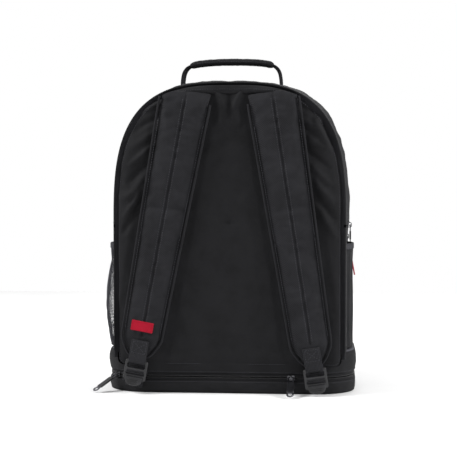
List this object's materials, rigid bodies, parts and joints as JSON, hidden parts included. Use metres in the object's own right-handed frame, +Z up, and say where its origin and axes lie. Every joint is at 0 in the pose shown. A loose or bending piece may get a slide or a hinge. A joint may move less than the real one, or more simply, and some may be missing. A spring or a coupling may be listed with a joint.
{
  "type": "racket backpack",
  "caption": "Soft backpack for racket sports with padded straps, carry handle, panel-opening main space, front racket pocket, zipped base space and side pockets.",
  "frame": {"origin": "middle of the base's flat underside", "axes": "+Z up, -Y towards the wearer's back, +X to the right as seen from the strap side"},
  "size_m": [0.3881, 0.2628, 0.5],
  "materials": {
    "pack_fabric": "black woven polyester, slight sheen",
    "strap_fabric": "black woven polyester over foam",
    "lining": "dark grey woven lining",
    "foam": "closed-cell foam",
    "board": "black plastic stiffener",
    "piping": "bound piping cord",
    "zip_chain": "woven tape with nylon coil",
    "mesh": "open knitted mesh",
    "hem_binding": "folded binding",
    "webbing": "ribbed polypropylene webbing",
    "grip": "padded woven grip",
    "red_label": "woven label",
    "buckle_plastic": "moulded acetal",
    "slider_metal": "plated zinc",
    "pull_metal": "enamelled zinc with bright edge"
  },
  "bodies": {
    "pack": {"back_panel_cover": "pack_fabric", "back_foam": "foam", "back_lining": "lining", "back_piping": "piping", "yoke_panel": "pack_fabric", "left_side_panel": "pack_fabric", "right_side_panel": "pack_fabric", "top_gusset": "pack_fabric", "divider_floor": "lining", "main_zip_rear": "zip_chain", "mesh_pocket": "mesh", "mesh_pocket_hem": "hem_binding", "side_pocket": "pack_fabric", "side_pocket_hem": "hem_binding", "base_upper_band": "pack_fabric", "base_zip_upper": "zip_chain", "handle_feet": "webbing", "left_lower_webbing": "webbing", "right_lower_webbing": "webbing"},
    "base_tray": {"base_bottom_panel": "pack_fabric", "base_board": "board", "base_lower_band": "pack_fabric", "base_zip_lower": "zip_chain"},
    "front_panel": {"front_wall": "pack_fabric", "front_gusset": "pack_fabric", "main_zip_front": "zip_chain", "racket_zip_rear": "zip_chain"},
    "racket_pocket": {"racket_pocket_cover": "pack_fabric", "racket_padding": "foam", "racket_zip_front": "zip_chain", "accessory_pocket": "pack_fabric", "accessory_zip": "zip_chain"},
    "carry_handle": {"carry_handle_webbing": "webbing", "carry_handle_grip": "grip"},
    "left_strap": {"left_strap_cover": "strap_fabric", "left_strap_foam": "foam", "left_strap_loop": "webbing", "left_webbing_tail": "webbing", "left_strap_label": "red_label"},
    "left_buckle": {"left_ladder_lock": "buckle_plastic"},
    "right_strap": {"right_strap_cover": "strap_fabric", "right_strap_foam": "foam", "right_strap_loop": "webbing", "right_webbing_tail": "webbing"},
    "right_buckle": {"right_ladder_lock": "buckle_plastic"},
    "main_upper_slider": {"main_slider_upper": "slider_metal"},
    "main_upper_pull": {"main_pull_upper": "pull_metal", "main_tag_upper": "red_label"},
    "main_lower_slider": {"main_slider_lower": "slider_metal"},
    "main_lower_pull": {"main_pull_lower": "pull_metal", "main_tag_lower": "red_label"},
    "base_left_slider": {"base_slider_left": "slider_metal"},
    "base_left_pull": {"base_pull_left": "pull_metal"},
    "base_right_slider": {"base_slider_right": "slider_metal"},
    "base_right_pull": {"base_pull_right": "pull_metal"},
    "racket_zip_slider": {"racket_slider": "slider_metal"},
    "racket_zip_pull": {"racket_pull": "pull_metal"},
    "accessory_zip_slider": {"accessory_slider": "slider_metal"},
    "accessory_zip_pull": {"accessory_pull": "pull_metal"}
  },
  "joints": [
    {"name": "main_panel_open", "type": "hinge", "parent": "pack", "child": "front_panel", "pos_m": [0, 0.112, 0.064], "axis": [-1, 0, 0], "range_deg": [0, 65]},
    {"name": "racket_pocket_open", "type": "hinge", "parent": "front_panel", "child": "racket_pocket", "pos_m": [0, 0.112, 0.07], "axis": [-1, 0, 0], "range_deg": [0, 40]},
    {"name": "base_open", "type": "hinge", "parent": "pack", "child": "base_tray", "pos_m": [0, 0.098, 0.024], "axis": [1, 0, 0], "range_deg": [0, 35]},
    {"name": "carry_handle_fold", "type": "hinge", "parent": "pack", "child": "carry_handle", "pos_m": [0, -0.038, 0.467], "axis": [1, 0, 0], "range_deg": [-60, 60], "stiffness_Nm_per_rad": 0.15},
    {"name": "left_strap_swing", "type": "hinge", "parent": "pack", "child": "left_strap", "pos_m": [-0.061, -0.1012, 0.446], "axis": [-1, 0, 0], "range_deg": [0, 25]},
    {"name": "right_strap_swing", "type": "hinge", "parent": "pack", "child": "right_strap", "pos_m": [0.064, -0.1012, 0.446], "axis": [-1, 0, 0], "range_deg": [0, 25]},
    {"name": "left_buckle_tilt", "type": "hinge", "parent": "left_strap", "child": "left_buckle", "pos_m": [-0.13476, -0.1092, 0.04787], "axis": [-0.9833, 0, 0.1822], "range_deg": [-8, 60]},
    {"name": "right_buckle_tilt", "type": "hinge", "parent": "right_strap", "child": "right_buckle", "pos_m": [0.12664, -0.1092, 0.03885], "axis": [-0.9884, 0, -0.1521], "range_deg": [-8, 60]},
    {"name": "main_upper_slide", "type": "slide", "parent": "pack", "child": "main_upper_slider", "axis": [0, 0, 1], "range_m": [0, 0.03]},
    {"name": "main_upper_pull_flip", "type": "hinge", "parent": "main_upper_slider", "child": "main_upper_pull", "pos_m": [0.18015, 0.058, 0.246], "axis": [0, -1, 0], "range_deg": [0, 150]},
    {"name": "main_lower_slide", "type": "slide", "parent": "pack", "child": "main_lower_slider", "axis": [0, 0, 1], "range_m": [-0.08, 0]},
    {"name": "main_lower_pull_swing", "type": "hinge", "parent": "main_lower_slider", "child": "main_lower_pull", "pos_m": [0.17585, 0.058, 0.228], "axis": [1, 0, 0], "range_deg": [-10, 20]},
    {"name": "base_left_slide", "type": "hinge", "parent": "pack", "child": "base_left_slider", "pos_m": [-0.126, -0.034, 0.024], "axis": [0, 0, 1], "range_deg": [-40, 12]},
    {"name": "base_left_pull_flip", "type": "hinge", "parent": "base_left_slider", "child": "base_left_pull", "pos_m": [-0.17115, -0.07915, 0.024], "axis": [-0.7071, 0.7071, 0], "range_deg": [-55, 60]},
    {"name": "base_right_slide", "type": "slide", "parent": "pack", "child": "base_right_slider", "axis": [1, 0, 0], "range_m": [-0.18, 0.006]},
    {"name": "base_right_pull_flip", "type": "hinge", "parent": "base_right_slider", "child": "base_right_pull", "pos_m": [0.092, -0.09785, 0.024], "axis": [-1, 0, 0], "range_deg": [-55, 80]},
    {"name": "racket_zip_slide", "type": "slide", "parent": "front_panel", "child": "racket_zip_slider", "axis": [0, 0, 1], "range_m": [-0.12, 0.01]},
    {"name": "racket_pull_flip", "type": "hinge", "parent": "racket_zip_slider", "child": "racket_zip_pull", "pos_m": [0.15585, 0.0816, 0.236], "axis": [0, -1, 0], "range_deg": [0, 150]},
    {"name": "accessory_zip_slide", "type": "slide", "parent": "racket_pocket", "child": "accessory_zip_slider", "axis": [1, 0, 0], "range_m": [0, 0.145]},
    {"name": "accessory_pull_flip", "type": "hinge", "parent": "accessory_zip_slider", "child": "accessory_zip_pull", "pos_m": [-0.074, 0.1209, 0.21], "axis": [1, 0, 0], "range_deg": [0, 150]}
  ]
}
